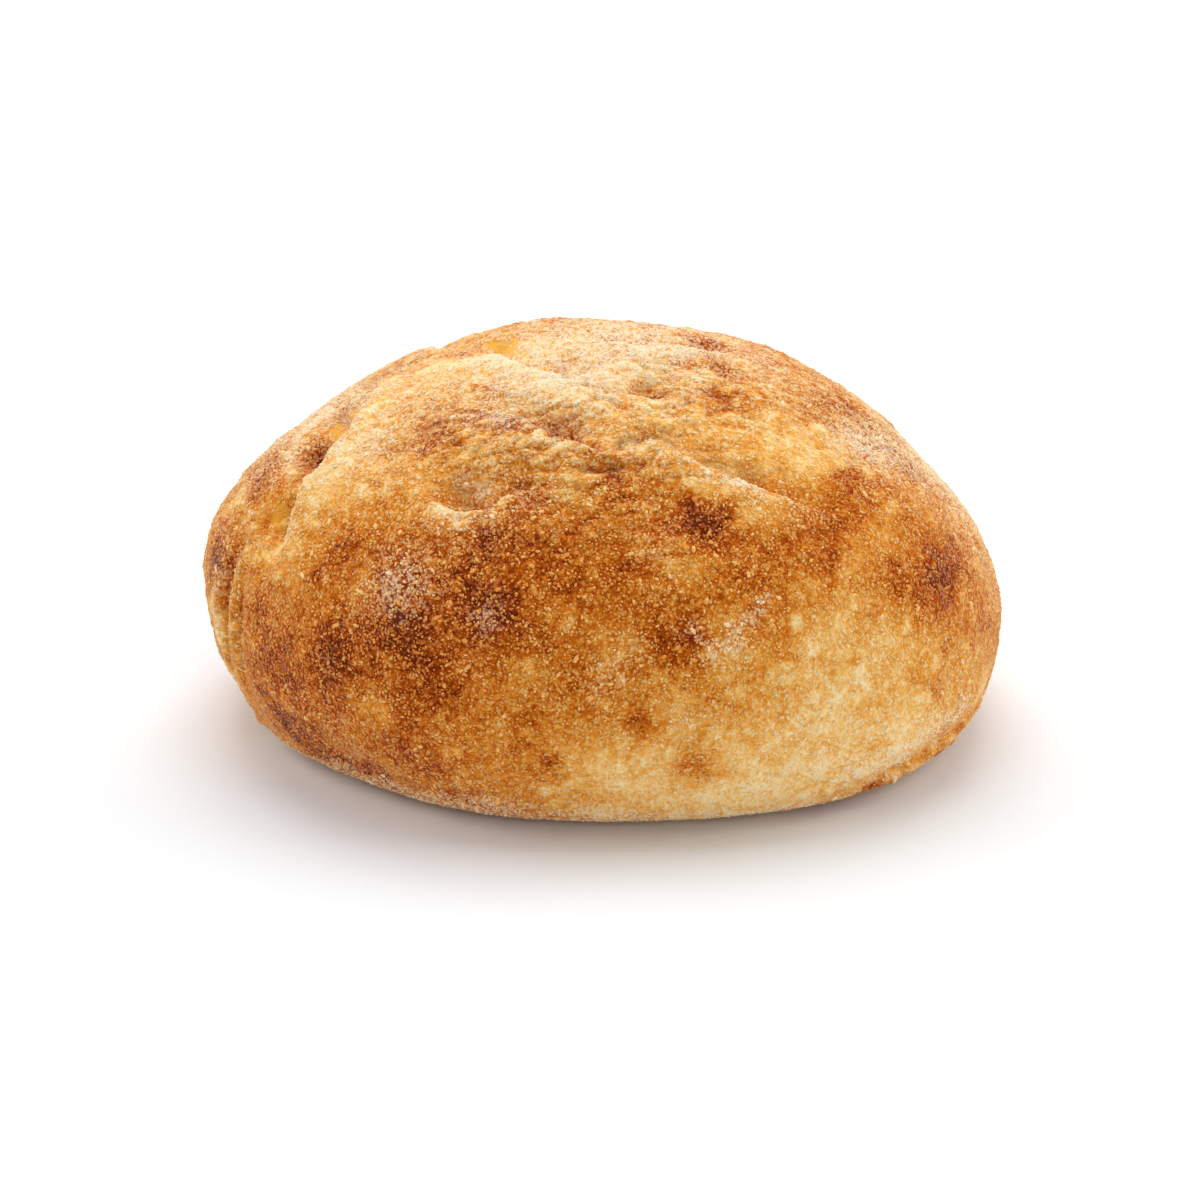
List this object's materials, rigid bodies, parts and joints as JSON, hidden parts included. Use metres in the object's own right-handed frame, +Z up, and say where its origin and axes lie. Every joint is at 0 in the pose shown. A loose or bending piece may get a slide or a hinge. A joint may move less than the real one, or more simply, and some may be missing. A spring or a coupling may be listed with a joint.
{
  "type": "bread roll",
  "caption": "Rustic oval bread roll with a blotched golden crust, folds and dimples on its left shoulder and crown, and a flat floured base.",
  "frame": {"origin": "centre of the roll's bounding box at the level of its flat base", "axes": "+Z up, +X towards the roll's right end along its longest side, -Y towards the front that the picture shows"},
  "size_m": [0.12, 0.099, 0.059],
  "materials": {
    "crust": "matt baked crust, golden to dark brown, dusted with flour"
  },
  "bodies": {
    "root": {"bread_roll": "crust"}
  },
  "joints": []
}
